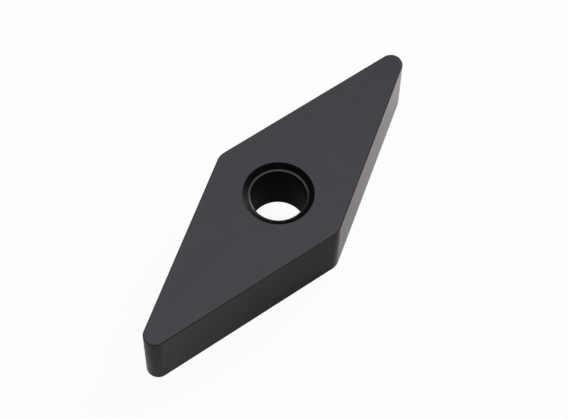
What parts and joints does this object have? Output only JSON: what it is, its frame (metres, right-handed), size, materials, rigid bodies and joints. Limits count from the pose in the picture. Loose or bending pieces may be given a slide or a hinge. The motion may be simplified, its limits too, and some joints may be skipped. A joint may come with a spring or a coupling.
{
  "type": "carbide insert",
  "caption": "Rhombic turning insert with flat faces, upright flanks, honed edges and rounded noses, held by a pin through its central hole.",
  "frame": {"origin": "on the hole's axis at the lower flat face", "axes": "+X along the long diagonal to a cutting nose, +Y to a blunt corner, +Z along the hole to the upper face"},
  "size_m": [0.028, 0.0098, 0.0048],
  "materials": {
    "coated_carbide": "satin"
  },
  "bodies": {
    "root": {"insert_body": "coated_carbide"}
  },
  "joints": []
}
